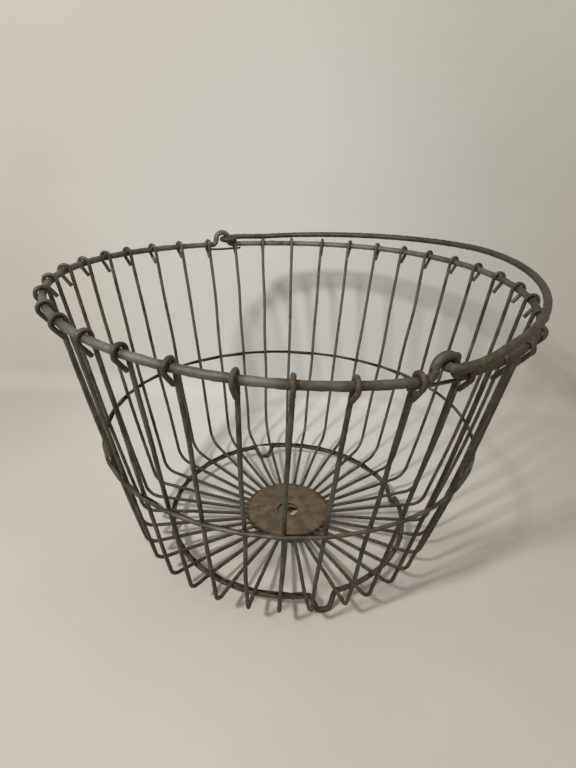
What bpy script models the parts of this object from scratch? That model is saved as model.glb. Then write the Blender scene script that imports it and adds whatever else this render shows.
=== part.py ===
"""Round wire egg basket with a swinging bail.

The basket stands on the ground plane with its own axis on the world Z axis.
The bail's hinge line runs along Y, and at rest the bail lies over the rim on the +X side.
Sizes are in metres and angles in degrees.
"""

from math import acos, asin, atan, atan2, cos, degrees, hypot, pi, radians, sin, tan

import bmesh
import bpy

# Ribs: one bent wire each, from the hub up to the rim
RIBS_PER_QUARTER = 9
RIB_WIRE_R = 0.0014
RIB_BASE_R = 0.1205
RIB_BEND_R = 0.011
RIB_TAIL = 0.0105
SPOKE_END_R = 0.020
SPOKE_LEVEL = 0.0020
HUB_DROP = 0.0080

# Rim hoop, with one ear at each end of the hinge line
RIM_R = 0.165
RIM_Z = 0.2125
RIM_WIRE_R = 0.0024
EAR_SLACK = 0.0012
EAR_FLARE_R = 0.0045
EAR_LEG = 0.0008
KEEPER_WIRE_R = 0.0010
KEEPER_END = 0.0020

# Middle hoop
MID_Z = 0.105
MID_WIRE_R = 0.0013

# Foot ring, with four feet bent down from it
RING_R = 0.100
RING_WIRE_R = 0.0020
FOOT_DROP = 0.0120
FOOT_WORN = 0.0004
FOOT_TOP_HALF = 0.0092
FOOT_BOTTOM_HALF = 0.0042
FOOT_BEND_R = 0.0030
FOOT_BAYS_FROM_EAR = 1

# Hub: two pressed plates with the spokes between them
HUB_R = 0.036
HUB_SHEET = 0.0010
HUB_HOLE_R = 0.009
HUB_LOWER_HOLE_R = 0.0055
HUB_DISH_R = 0.015
HUB_CRIMP = 0.0008
HUB_CRIMP_BAND = 0.009

# Bail
BAIL_WIRE_R = 0.0024
BAIL_REACH = 0.1715
BAIL_ROUNDNESS = 1.75
BAIL_TAIL_GAP = 0.0010
EAR_PLAY = 0.0008
BAIL_CLEARANCE = 0.0006

# Gap between pieces that rest on each other
SEAT = 0.0003

RIB_COUNT = 4 * RIBS_PER_QUARTER
BAY = 360.0 / RIB_COUNT
HALF_BAY_X = RIM_R * sin(radians(BAY / 2))

RING_Z = FOOT_DROP + RING_WIRE_R - FOOT_WORN

# The spokes lie on the foot ring and fall from it to the hub, where they are level
LEVEL_R = HUB_R + SPOKE_LEVEL
SPOKE_FALL = atan2(HUB_DROP, RING_R - LEVEL_R)
OVER_RING_Z = RING_Z + (RING_WIRE_R + SEAT + RIB_WIRE_R) / cos(SPOKE_FALL)
HUB_Z = OVER_RING_Z - HUB_DROP
CORNER_Z = OVER_RING_Z + (RIB_BASE_R - RING_R) * tan(SPOKE_FALL)

# A rib's side is the line from its lower corner that just clears the rim wire on the inside
HOOK_R = RIM_WIRE_R + SEAT + RIB_WIRE_R
SIDE_RUN = RIM_R - RIB_BASE_R
SIDE_RISE = RIM_Z - CORNER_Z
SIDE_LEAN = atan2(SIDE_RUN, SIDE_RISE) - asin(HOOK_R / hypot(SIDE_RUN, SIDE_RISE))

MID_R = (RIB_BASE_R + (MID_Z - CORNER_Z) * tan(SIDE_LEAN)
         + (RIB_WIRE_R + SEAT + MID_WIRE_R) / cos(SIDE_LEAN))

EAR_HALF = RIM_WIRE_R + BAIL_WIRE_R + EAR_SLACK
EAR_RISE = EAR_FLARE_R + EAR_LEG + EAR_HALF
HINGE_Z = RIM_Z + EAR_RISE - EAR_HALF

# At rest the bail lies on the second rib hook from each ear
HOOK_TOP = HOOK_R + RIB_WIRE_R
BAIL_LIFT = HOOK_TOP + BAIL_WIRE_R + BAIL_CLEARANCE - (HINGE_Z - RIM_Z)
BAIL_TILT = atan(BAIL_LIFT / (RIM_R * sin(radians(1.5 * BAY))))


def clear_scene():
    for thing in list(bpy.data.objects):
        bpy.data.objects.remove(thing, do_unlink=True)


def metal(name, colour, roughness, metallic):
    material = bpy.data.materials.new(name)
    material.use_nodes = True
    shader = material.node_tree.nodes["Principled BSDF"]
    shader.inputs["Base Color"].default_value = (*colour, 1.0)
    shader.inputs["Roughness"].default_value = roughness
    shader.inputs["Metallic"].default_value = metallic
    return material


def arc(centre, radius, start, stop, steps):
    """Points round an arc from angle start to angle stop, both ends included."""
    points = []
    for i in range(steps + 1):
        a = radians(start + (stop - start) * i / steps)
        points.append((centre[0] + radius * cos(a), centre[1] + radius * sin(a)))
    return points


def bend(before, corner, after, radius, steps):
    """Points of the round bend that a wire makes at a corner between two straight runs."""
    u = unit(before[0] - corner[0], before[1] - corner[1])
    v = unit(after[0] - corner[0], after[1] - corner[1])
    half = acos(u[0] * v[0] + u[1] * v[1]) / 2
    middle = unit(u[0] + v[0], u[1] + v[1])
    centre = (corner[0] + middle[0] * radius / sin(half),
              corner[1] + middle[1] * radius / sin(half))
    run = radius / tan(half)
    first = (corner[0] + u[0] * run, corner[1] + u[1] * run)
    start = atan2(first[1] - centre[1], first[0] - centre[0])
    turn = pi - 2 * half
    if u[0] * v[1] - u[1] * v[0] > 0:
        turn = -turn
    return arc(centre, radius, degrees(start), degrees(start + turn), steps)


def unit(x, y):
    length = hypot(x, y)
    return (x / length, y / length)


def wire_curve(name, points, radius, sides, closed=False):
    """A round wire along a list of points, as a curve with a bevel and filled ends."""
    curve = bpy.data.curves.new(name, "CURVE")
    curve.dimensions = "3D"
    curve.bevel_depth = radius
    curve.bevel_resolution = sides // 2 - 2
    curve.use_fill_caps = True
    spline = curve.splines.new("POLY")
    spline.points.add(len(points) - 1)
    for target, point in zip(spline.points, points):
        target.co = (*point, 1.0)
    spline.use_cyclic_u = closed
    spline.use_smooth = True
    return curve


def place(name, data, material, parent, location=(0, 0, 0), rotation=(0, 0, 0)):
    thing = bpy.data.objects.new(name, data)
    bpy.context.collection.objects.link(thing)
    if not data.materials:
        data.materials.append(material)
    thing.parent = parent
    thing.location = location
    thing.rotation_euler = rotation
    return thing


def frame_empty(name, location=(0, 0, 0)):
    empty = bpy.data.objects.new(name, None)
    bpy.context.collection.objects.link(empty)
    empty.location = location
    return empty


def hoop(radius, z, detours):
    """Points round a level hoop. Each detour is an angle and a list of (distance along
    the hoop, height) points that replace the plain hoop there."""
    step = BAY / 2
    points = []
    for i in range(round(360 / step)):
        angle = i * step
        if any(inside(angle, at, path, radius) for at, path in detours):
            continue
        points.append((angle, z))
    for at, path in detours:
        for along, height in path:
            points.append(((at + degrees(along / radius)) % 360, z + height))
    points.sort(key=lambda p: p[0])
    return [(radius * cos(radians(a)), radius * sin(radians(a)), h) for a, h in points]


def inside(angle, at, path, radius):
    reach = degrees(path[-1][0] / radius) + BAY / 8
    away = (angle - at + 180) % 360 - 180
    return abs(away) < reach


def ear_path():
    """An ear: the rim wire flares up, runs over a round top and comes down again."""
    foot = EAR_HALF + EAR_FLARE_R
    rise = arc((-foot, EAR_FLARE_R), EAR_FLARE_R, -90, 0, 4)
    top = arc((0, EAR_RISE - EAR_HALF), EAR_HALF, 180, 0, 10)
    half = rise + top[:6]
    return half + [(-s, h) for s, h in reversed(half[:-1])]


def foot_path():
    """A foot: the ring's wire dips to the ground and comes back up."""
    shoulder = (-FOOT_TOP_HALF, 0.0)
    toe = (-FOOT_BOTTOM_HALF, -FOOT_DROP)
    path = bend((-2 * FOOT_TOP_HALF, 0.0), shoulder, toe, FOOT_BEND_R, 3)
    path += bend(shoulder, toe, (0.0, -FOOT_DROP), FOOT_BEND_R, 3)
    return path + [(-s, h) for s, h in reversed(path)]


def rib_path():
    """A rib's centreline in its own upright plane, as (distance from the axis, height).

    It starts at the tail outside the rim, closes over the rim wire, comes down the side,
    turns in at the corner, falls over the foot ring and ends between the hub plates.
    """
    lean = SIDE_LEAN
    # Offsets from the rim wire, across the side line (outwards) and up along it
    tip_across = 2 * RIB_WIRE_R + SEAT - HOOK_R
    tip_up = -RIB_TAIL
    reach = hypot(tip_across, tip_up)
    leave = degrees(atan2(tip_up, tip_across) + acos(HOOK_R / reach))
    offsets = [(tip_across, tip_up)] + arc((0, 0), HOOK_R, leave, 180, 7)
    points = []
    for across, up in offsets:
        points.append((RIM_R + across * cos(lean) + up * sin(lean),
                       RIM_Z - across * sin(lean) + up * cos(lean)))
    corner = (RIB_BASE_R, CORNER_Z)
    level = (LEVEL_R, HUB_Z)
    points += bend(points[-1], corner, level, RIB_BEND_R, 4)
    return points + [level, (SPOKE_END_R, HUB_Z)]


def bail_path():
    """The bail's centreline, flat in its own plane, with the hinge line along local Y.

    Each end is a hook: it passes out of the basket through the ear and turns back along
    the outside. The bow between the hooks is a rounded arch.
    """
    hook_r = RIM_WIRE_R + EAR_PLAY + BAIL_WIRE_R
    half_width = RIM_R + hook_r
    tail = HALF_BAY_X - RIB_WIRE_R - BAIL_TAIL_GAP
    hook = [(tail, RIM_R - hook_r)]
    hook += arc((EAR_HALF, RIM_R), hook_r, 270, 90, 9)
    bow = []
    steps = 36
    for i in range(1, steps):
        a = pi * i / steps - pi / 2
        along = abs(cos(a)) ** (2 / BAIL_ROUNDNESS)
        across = abs(sin(a)) ** (2 / BAIL_ROUNDNESS)
        if a > 0:
            across = -across
        bow.append((tail + (BAIL_REACH - tail) * along, half_width * across))
    start = hook + [(tail, half_width)]
    finish = [(x, -y) for x, y in reversed(start)]
    return [(x, y, 0.0) for x, y in start + bow + finish]


def keeper_line():
    """A keeper wire's height and distance from the axis: it lies under the rim wire, in
    the eyes of the hooks on either side of the ear."""
    drop = RIM_WIRE_R + SEAT + KEEPER_WIRE_R
    across = RIB_WIRE_R + KEEPER_WIRE_R + 2 * SEAT
    # The hook's eye leans with the rib, so the wire is moved inwards from the rim
    inwards = (HOOK_R - across + drop * sin(SIDE_LEAN)) / cos(SIDE_LEAN)
    return RIM_R * cos(radians(BAY / 2)) - inwards, RIM_Z - drop


def hub_plate(name, side, hole_r):
    """A pressed plate over (side 1) or under (side -1) the spokes: dished round its hole,
    flat over the spokes' ends, and crimped down between the spokes at its edge."""
    flat = RIB_WIRE_R + SEAT
    inner = [(hole_r, SEAT / 2), (HUB_DISH_R, flat), (HUB_R - HUB_CRIMP_BAND, flat), (HUB_R, flat)]
    outer = [(r, z + HUB_SHEET) for r, z in reversed(inner)]
    bm = bmesh.new()
    loop = [bm.verts.new((r, 0, z * side)) for r, z in inner + outer]
    edges = [bm.edges.new((loop[i - 1], loop[i])) for i in range(len(loop))]
    bmesh.ops.spin(bm, geom=loop + edges, cent=(0, 0, 0), axis=(0, 0, 1), angle=2 * pi,
                   steps=2 * RIB_COUNT, use_merge=True)
    bmesh.ops.remove_doubles(bm, verts=bm.verts, dist=0.000001)
    for vert in bm.verts:
        if hypot(vert.co.x, vert.co.y) > HUB_R - HUB_CRIMP_BAND / 2:
            between = (1 + cos(RIB_COUNT * atan2(vert.co.y, vert.co.x))) / 2
            vert.co.z -= side * HUB_CRIMP * between
    bmesh.ops.recalc_face_normals(bm, faces=bm.faces)
    mesh = bpy.data.meshes.new(name)
    bm.to_mesh(mesh)
    bm.free()
    mesh.shade_smooth()
    mesh.set_sharp_from_angle(angle=radians(40))
    return mesh


def foot_ring_mesh(name):
    """The foot ring as a mesh, with the flats that its feet have worn on the ground."""
    detours = []
    for quarter in range(4):
        at = (90 - FOOT_BAYS_FROM_EAR * BAY + quarter * 90) % 360
        detours.append((at, foot_path()))
    curve = wire_curve(name, hoop(RING_R, RING_Z, detours), RING_WIRE_R, 8, closed=True)
    guide = bpy.data.objects.new(name + "_route", curve)
    bpy.context.collection.objects.link(guide)
    shape = guide.evaluated_get(bpy.context.evaluated_depsgraph_get())
    mesh = bpy.data.meshes.new_from_object(shape)
    bpy.data.objects.remove(guide)
    bm = bmesh.new()
    bm.from_mesh(mesh)
    bmesh.ops.remove_doubles(bm, verts=bm.verts, dist=0.000001)
    cut = bmesh.ops.bisect_plane(bm, geom=bm.verts[:] + bm.edges[:] + bm.faces[:],
                                 plane_co=(0, 0, 0), plane_no=(0, 0, -1), clear_outer=True)
    rims = [e for e in cut["geom_cut"] if isinstance(e, bmesh.types.BMEdge)]
    bmesh.ops.holes_fill(bm, edges=rims)
    bmesh.ops.recalc_face_normals(bm, faces=bm.faces)
    bm.to_mesh(mesh)
    bm.free()
    mesh.shade_smooth()
    mesh.set_sharp_from_angle(angle=radians(50))
    return mesh


def build():
    clear_scene()

    rib_metal = metal("dull_zinc_wire", (0.105, 0.098, 0.082), 0.55, 0.75)
    hoop_metal = metal("rusty_zinc_wire", (0.120, 0.098, 0.076), 0.60, 0.70)
    foot_metal = metal("rusted_wire", (0.105, 0.074, 0.050), 0.70, 0.50)
    plate_metal = metal("rusted_sheet", (0.125, 0.088, 0.058), 0.75, 0.45)
    bail_metal = metal("dark_bail_wire", (0.085, 0.074, 0.062), 0.50, 0.75)

    basket = frame_empty("basket")

    rib = wire_curve("rib", [(r, 0.0, z) for r, z in rib_path()], RIB_WIRE_R, 6)
    for i in range(RIB_COUNT):
        turn = radians(BAY * (i + 0.5))
        place(f"rib_{i + 1:02d}", rib, rib_metal, basket, rotation=(0, 0, turn))

    ears = [(90, ear_path()), (270, ear_path())]
    rim = wire_curve("rim_hoop", hoop(RIM_R, RIM_Z, ears), RIM_WIRE_R, 8, closed=True)
    place("rim_hoop", rim, hoop_metal, basket)

    mid = wire_curve("mid_hoop", hoop(MID_R, MID_Z, []), MID_WIRE_R, 6, closed=True)
    place("mid_hoop", mid, rib_metal, basket)

    place("foot_ring", foot_ring_mesh("foot_ring"), foot_metal, basket)

    keeper_y, keeper_z = keeper_line()
    half = HALF_BAY_X + RIB_WIRE_R + KEEPER_END
    keeper = wire_curve("ear_keeper", [(-half, 0, 0), (half, 0, 0)], KEEPER_WIRE_R, 8)
    place("ear_keeper_rear", keeper, rib_metal, basket, (0, keeper_y, keeper_z))
    place("ear_keeper_front", keeper, rib_metal, basket, (0, -keeper_y, keeper_z))

    upper = hub_plate("hub_plate_upper", 1, HUB_HOLE_R)
    lower = hub_plate("hub_plate_lower", -1, HUB_LOWER_HOLE_R)
    place("hub_plate_upper", upper, plate_metal, basket, (0, 0, HUB_Z))
    place("hub_plate_lower", lower, plate_metal, basket, (0, 0, HUB_Z))

    hinge = frame_empty("bail_hinge", (0, 0, HINGE_Z))
    bail = wire_curve("bail", bail_path(), BAIL_WIRE_R, 8)
    place("bail", bail, bail_metal, hinge, rotation=(0, -BAIL_TILT, 0))


build()
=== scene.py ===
"""Wire egg basket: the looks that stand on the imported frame.

Every wire is a smooth worn tube, the hub is a pair of pressed and crimped plates, and small
welds tie the wires where they cross. Sizes are in metres, with +Z up and the basket's own
axis on Z. The bail's hinge line runs along Y.
"""

from math import acos, asin, atan, atan2, cos, hypot, pi, radians, sin, tan
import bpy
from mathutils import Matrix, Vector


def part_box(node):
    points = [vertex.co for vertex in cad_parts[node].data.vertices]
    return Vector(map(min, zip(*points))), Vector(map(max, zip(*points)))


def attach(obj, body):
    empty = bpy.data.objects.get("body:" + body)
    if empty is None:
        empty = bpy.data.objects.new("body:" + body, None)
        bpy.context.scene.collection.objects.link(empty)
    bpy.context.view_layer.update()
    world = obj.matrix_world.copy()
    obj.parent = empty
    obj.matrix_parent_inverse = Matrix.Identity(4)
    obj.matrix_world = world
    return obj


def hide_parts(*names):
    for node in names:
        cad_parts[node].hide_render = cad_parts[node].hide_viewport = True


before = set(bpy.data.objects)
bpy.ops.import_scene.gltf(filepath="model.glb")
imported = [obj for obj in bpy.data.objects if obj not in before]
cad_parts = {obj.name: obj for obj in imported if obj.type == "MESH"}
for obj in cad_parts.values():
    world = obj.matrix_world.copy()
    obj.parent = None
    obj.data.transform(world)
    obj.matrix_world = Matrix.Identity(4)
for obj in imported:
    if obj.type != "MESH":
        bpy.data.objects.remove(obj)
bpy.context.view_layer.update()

from types import SimpleNamespace

import bpy
import numpy as np
from bpy.props import FloatProperty, FloatVectorProperty, PointerProperty
from mathutils import Matrix, Vector

bl_info = {
    "name": "Wire Egg Basket",
    "version": (1, 0, 0),
    "blender": (4, 5, 0),
    "location": "View3D > Sidebar > Basket",
    "description": "Builds a worn wire egg basket with a swinging bail",
    "category": "Object",
}

RIB_NAMES = sorted(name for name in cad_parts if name.startswith("rib_"))
RIB_COUNT = len(RIB_NAMES)
BAY = 2 * pi / RIB_COUNT
EAR_ANGLES = (pi / 2, 3 * pi / 2)
FOOT_ANGLES = tuple(radians(a) for a in (80, 170, 260, 350))

# Hand-bent ribs aren't quite even. Each number is how far one rib stands off its even place
# along the hoop, at its hook and at its lower corner, in millimetres before it is divided.
HOOK_SHIFTS = np.array((3.8, 3.5, 1.3, 0.1, -0.1, -0.9, 1.1, 1.9, 1.6,
                        0.4, 1.3, 1.7, 1.0, -2.0, -2.6, -2.4, 0.0, 4.0,
                        5.5, 3.5, 3.2, 1.3, 0.4, 2.7, 0.0, -1.1, 1.2,
                        0.2, -1.5, -1.0, -2.0, 0.8, 4.5, 3.6, 4.8, 4.6)) / 1000
CORNER_SHIFTS = np.array((-0.6, 0.4, -0.8, 0.6, -0.4, 0.8, -0.5, 0.4, -0.9,
                          0.5, -0.6, 0.9, -0.4, 0.7, -0.8, -1.4, -2.2, -2.8,
                          -3.4, -3.6, -4.0, -5.0, -4.4, -3.0, -2.4, -2.0, 2.4,
                          -0.8, 0.1, -2.2, -1.2, 0.6, -0.5, 0.8, -0.7, 0.5)) / 1000

# The old rim is bent out of flat, higher at its sides than at its ears, and a little tipped
RIM_BEND = 0.0053
RIM_TIP_X = -0.0011
RIM_TIP_Y = 0.0008

# Round the rim the wires are darkest near the first of these angles, which is painted shade on the
# side away from the key light and under the bail, together with some rust. The zinc has worn away
# some near the second, the hooks have rusted most near the third, and the wires near the last are
# paler
SHADE_AND_RUST_ANGLE = radians(295)
RIM_DULL_ANGLE = radians(145)
RUSTY_HOOKS_ANGLE = radians(246)
PALER_WIRES_ANGLE = radians(58)

# How far round the basket each of those reaches, in radians. The painted shade and rust reaches
# further along the rim's own wire than over the other wires.
RIM_SHADE_AND_RUST_WIDTH = 0.7
SHADE_AND_RUST_WIDTH = 0.6
DULL_WIDTH = 0.7
RUSTY_HOOKS_WIDTH = 0.28
PALER_WIRES_WIDTH = 0.95

# How far rust spreads from a joint: round the rim and the middle hoop and round the foot
# ring, in radians, and up and down a rib from the middle hoop and from the rim, in metres
HOOP_RUST_SPREAD = 0.03
RING_RUST_SPREAD = 0.04
MIDDLE_RUST_SPREAD = 0.007
HOOK_RUST_SPREAD = 0.009

# Where rust sets in and over what length it thickens: down towards the ground, along the
# spokes towards the hub, and along the bail towards its hooks
LOW_RUST = (0.060, 0.040)
INNER_RUST = (0.055, 0.020)
BAIL_RUST = (0.020, 0.015)

# The palest zinc's brightness against that of the other pale patches
PALEST = 1.2

# A rib's lower bend: its middle radius, how much less that is at the tightest rib and more at
# the widest one, where the tightest is, and the chance difference of each rib
RIB_BEND = 0.013
RIB_BEND_CHANGE = 0.005
TIGHTEST_BEND_ANGLE = radians(-116)
RIB_BEND_CHANCE = 0.001

# Chance differences between the ribs: the shares of its even length that a tail may have, how
# far the upper and the lower part of a side bow in or out, and how far a rib sways sideways
TAIL_SHARES = (0.88, 1.10)
UPPER_BOW = 0.0004
LOWER_BOW = 0.0003
RIB_SWAY = 0.00025

# How far the middle hoop sways up and down, and how far it is drawn in between two ribs
HOOP_SWAY = 0.0004
HOOP_TUCK = 0.00025

# The foot ring and the hub have been pushed off the axis, and so has the lower plate's hole
# within the hub
RING_SHIFT = (0.0026, -0.0013)
HUB_SHIFT = (0.0024, -0.0012)
LOWER_HOLE_SHIFT = (0.0030, -0.0020)

# Half way up, the sides are a little wider along one line across the basket, and most so at
# one end of it
WIDE_ANGLE = radians(335)
WIDER = 0.0025
WIDER_END = 0.0012

# The bail's bow is lifted a little, and twisted so that its front end stands highest. Both
# grow over the first stretch of the bow, whose length comes last.
BAIL_LIFT = 0.0005
BAIL_TWIST = 0.0024
BAIL_LIFT_RUN = 0.035

# The fullness of the bail's bow, where 2 is an ellipse, and how many gaps between the ribs lie
# between an ear and the hook that the bail rests on
BAIL_FULLNESS = 1.75
BAIL_REST_BAYS = 1.5

# Fits and small lengths of the wires, and how far each of the four feet leans out
EAR_SLACK = 0.0012
EAR_FLARE = 0.0045
EAR_LEG = 0.0008
EAR_PLAY = 0.0008
BAIL_CLEARANCE = 0.0006
BAIL_TAIL_GAP = 0.0010
KEEPER_END = 0.0020
KEEPER_BOW = 0.0003
KEEPER_SAG = 0.0004
RIB_TAIL = 0.0105
SPOKE_LEVEL = 0.0014
SPOKE_END = 0.020
LEVEL_BEND = 0.020
FOOT_TOP_HALF = 0.0092
FOOT_BOTTOM_HALF = 0.0042
FOOT_BEND = 0.0030
FOOT_SPLAYS = (0.0, 0.0, 0.0035, 0.0025)

# A wire's cut end, in shares of its radius: how far out its two closing rings stand, how wide
# they are, and how far past them its middle stands
END_RINGS_OUT = (0.25, 0.16)
END_RING_SIZES = (0.78, 0.93)
END_MIDDLE_OUT = 0.02

# The shortest wave of a wire's pitting, and the number of waves in one unevenness
LUMP_LENGTH = 0.005
WAVE_COUNT = 12

# Half sizes of a weld, out from its rib and along it, the shares of them that chance may give,
# and its rust
MIDDLE_WELD = (0.0010, 0.0017)
RING_WELD = (0.0011, 0.0021)
WELD_SHARES = (0.88, 1.12)
WELD_RUST = 0.8

# A pool of light is painted on the cloth behind the basket, paler and less yellow than the rest:
# the middle of that painted light, the distances from it at which it starts and stops fading, the
# share by which heights are counted so that it is taller than it is wide, and its colour
PAINTED_LIGHT_PLACE = (0.085, 0.190, 0.040)
PAINTED_LIGHT_INNER = 0.06
PAINTED_LIGHT_OUTER = 0.34
PAINTED_LIGHT_UPRIGHT = 0.75
PAINTED_LIGHT_CLOTH = (0.755, 0.750, 0.700)

# The brightness of the cloth's deeper mottling against its own colour
CLOTH_DEEPER = 0.95

# The distances from the basket's foot at which the cloth starts to fade away and is gone
CLOTH_INNER = 0.68
CLOTH_OUTER = 1.20

# The sweep of cloth: the angle of its way back, the radius where floor turns up into backdrop,
# how far the floor comes forward, how high the backdrop goes, and half the width
CLOTH_FACING = radians(26.95)
COVE = 0.026
FLOOR_REACH = 3.0
BACKDROP_TOP = 1.6
CLOTH_HALF_WIDTH = 2.5

# Where the lamps stand, and the point in the basket that they are aimed at
KEY_PLACE = (-0.685, -0.317, 0.806)
SOFT_PLACE = (0.05, -0.56, 1.35)
LAMP_AIM = (0.0, 0.0, 0.10)

# Where the camera stands, how far it is turned to the right of +Y, how far it looks down, and
# how far it is tipped sideways
CAMERA_PLACE = (-0.1580, -0.3295, 0.3096)
CAMERA_HEADING = radians(25.458)
CAMERA_DOWN = radians(25.62)
CAMERA_ROLL = radians(2.08)

# How far an old bent piece may reach past its node's box
PLACE_SLACK = 0.009

# The hub plates' pressing: the rounding of their edges, the radius of the dish, the radius
# within which the lower plate is drawn aside with its hole, the widths of the crimped band and
# of the rusty edge, and the depth of the dents
HUB_EDGE_ROUND = 0.0003
HUB_DISH = 0.015
HUB_DRAW = 0.020
HUB_CRIMP_BAND = 0.009
HUB_RUST_BAND = 0.004
HUB_DENT = 0.00012


def metres(name, description, default, least=0.0):
    """A length that the user can set, in the scene's own unit."""
    return FloatProperty(name=name, description=description, default=default, min=least,
                         unit="LENGTH")


def tint(name, description, default):
    """A colour that the user can set."""
    return FloatVectorProperty(name=name, description=description, default=default,
                               subtype="COLOR", size=3, min=0.0, max=1.0)


class BasketSizes(bpy.types.PropertyGroup):
    rim_radius: metres("Rim radius", "From the axis to the middle of the rim wire",
                       0.165, least=0.05)
    rim_height: metres("Rim height", "From the ground to the middle of the rim wire",
                       0.2125, least=0.05)
    base_radius: metres("Base radius", "From the axis to the ribs' lower corners",
                        0.1205, least=0.03)
    middle_height: metres("Middle hoop height", "From the ground to the middle hoop",
                          0.105, least=0.02)
    ring_radius: metres("Foot ring radius", "From the axis to the middle of the foot ring",
                        0.100, least=0.02)
    foot_drop: metres("Foot drop", "How far each foot is bent down from the foot ring", 0.0120)
    foot_worn: metres("Foot wear", "Depth of the flats worn under the feet", 0.0004)
    hub_radius: metres("Hub radius", "Outside radius of the pressed hub plates", 0.0366, least=0.01)
    hub_drop: metres("Hub drop", "How far the spokes fall from the foot ring to the hub", 0.0080)
    hub_hole: metres("Upper hole radius", "Radius of the hole in the upper hub plate",
                     0.009, least=0.001)
    hub_lower_hole: metres("Lower hole radius", "Radius of the hole in the lower hub plate",
                           0.0055, least=0.001)
    hub_sheet: metres("Hub sheet", "Thickness of the hub's sheet metal", 0.0010, least=0.0002)
    crimp: metres("Crimp depth", "How far the plates are pinched in between the spokes", 0.0009)
    bail_reach: metres("Bail reach", "From the hinge line to the middle of the bail's far end",
                       0.1715, least=0.05)
    seat: metres("Seat gap", "Gap between pieces that rest on each other", 0.0003)


class WireSizes(bpy.types.PropertyGroup):
    rib: metres("Rib wire", "Radius of the ribs' wire", 0.0014, least=0.0003)
    rim: metres("Rim wire", "Radius of the rim's wire", 0.0024, least=0.0003)
    middle: metres("Middle hoop wire", "Radius of the middle hoop's wire", 0.0013, least=0.0003)
    ring: metres("Foot ring wire", "Radius of the foot ring's wire", 0.0020, least=0.0003)
    keeper: metres("Keeper wire", "Radius of the keeper wires under the ears", 0.0010, least=0.0003)
    bail: metres("Bail wire", "Radius of the bail's wire", 0.0024, least=0.0003)
    lumps: FloatProperty(
        name="Pitting", description="Share of a wire's radius that rust has raised or eaten",
        default=0.035, min=0.0, max=0.2, subtype="FACTOR")


class BasketColours(bpy.types.PropertyGroup):
    zinc: tint("Zinc", "Dull old zinc on the ribs and the middle hoop", (0.120, 0.109, 0.078))
    tarnish: tint("Tarnish", "Dark tarnish between the zinc's pale patches", (0.038, 0.034, 0.022))
    rim_zinc: tint("Rim zinc", "Paler handled zinc on the rim", (0.168, 0.156, 0.127))
    rim_tarnish: tint("Rim tarnish", "Brown tarnish between the rim's pale patches",
                      (0.080, 0.072, 0.055))
    rust: tint("Rust", "Brown rust that has come through the zinc", (0.128, 0.080, 0.045))
    dark_rust: tint("Dark rust", "Old dark rust in pits and round the joints",
                    (0.034, 0.025, 0.017))
    plate: tint("Hub plate", "Rubbed yellowish brown of the hub's sheet metal",
                (0.153, 0.104, 0.058))
    plate_stain: tint("Hub stain", "Darker brown stains on the hub", (0.088, 0.057, 0.030))
    bail: tint("Bail", "Dark oiled steel of the bail", (0.084, 0.073, 0.047))


class StudioSettings(bpy.types.PropertyGroup):
    floor: tint("Floor", "Pale warm floor", (0.605, 0.557, 0.484))
    backdrop: tint("Backdrop", "Pale warm backdrop behind the basket", (0.650, 0.616, 0.540))
    wall_distance: metres("Backdrop distance", "From the basket's axis to the backdrop",
                          0.241, least=0.2)
    key_power: FloatProperty(
        name="Key light", description="Power of the key light",
        default=6.7, min=0.0, unit="POWER")
    key_size: metres("Key size", "Diameter of the key light", 0.105, least=0.01)
    soft_power: FloatProperty(
        name="Soft light", description="Power of the large soft light overhead",
        default=6.0, min=0.0, unit="POWER")
    soft_size: metres("Soft light size", "Width of the large soft light overhead", 1.2, least=0.01)
    fill: FloatProperty(
        name="Fill", description="Strength of the even light from all round",
        default=0.15, min=0.0, subtype="FACTOR")
    lens: FloatProperty(
        name="Lens", description="Focal length of the camera",
        default=24.0, min=5.0, unit="CAMERA")


# Sizes that follow from the ones above


def plan():
    """Every size the pieces share, worked out from the scene's properties."""
    b = bpy.context.scene.basket_sizes
    w = bpy.context.scene.basket_wires
    p = SimpleNamespace(b=b, w=w)
    p.level_r = b.hub_radius + SPOKE_LEVEL
    p.ring_z = b.foot_drop + w.ring - b.foot_worn
    fall = atan2(b.hub_drop, b.ring_radius - p.level_r)
    p.over_ring_z = p.ring_z + (w.ring + b.seat + w.rib) / cos(fall)
    p.hub_z = p.over_ring_z - b.hub_drop
    p.corner_z = p.over_ring_z + (b.base_radius - b.ring_radius) * tan(fall)
    p.hook_r = w.rim + b.seat + w.rib
    run = b.rim_radius - b.base_radius
    rise = b.rim_height - p.corner_z
    p.lean = atan2(run, rise) - asin(p.hook_r / hypot(run, rise))
    p.side_at_middle = b.base_radius + (b.middle_height - p.corner_z) * tan(p.lean)
    p.middle_r = p.side_at_middle + (w.rib + b.seat + w.middle) / cos(p.lean)
    p.ear_half = w.rim + w.bail + EAR_SLACK
    p.hinge_z = b.rim_height + EAR_FLARE + EAR_LEG
    p.bail_hook_r = w.rim + EAR_PLAY + w.bail
    half_bay = b.rim_radius * sin(BAY / 2)
    p.bail_tail = half_bay - w.rib - BAIL_TAIL_GAP
    p.keeper_half = half_bay + w.rib + KEEPER_END
    lift = p.hook_r + w.rib + w.bail + BAIL_CLEARANCE - (p.hinge_z - b.rim_height)
    p.bail_tilt = atan(lift / (b.rim_radius * sin(BAIL_REST_BAYS * BAY)))
    return p


# Paths


def line(start, stop, steps):
    """Even points on the straight line from start to stop, both ends included."""
    share = np.linspace(0.0, 1.0, steps + 1)[:, None]
    return np.asarray(start) + (np.asarray(stop) - np.asarray(start)) * share


def arc(centre, radius, begin, end, steps):
    """Even points round a circle: centre + radius × (cos a, sin a), from angle begin to end."""
    a = np.linspace(begin, end, steps + 1)
    return np.stack([centre[0] + radius * np.cos(a), centre[1] + radius * np.sin(a)], axis=1)


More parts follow.
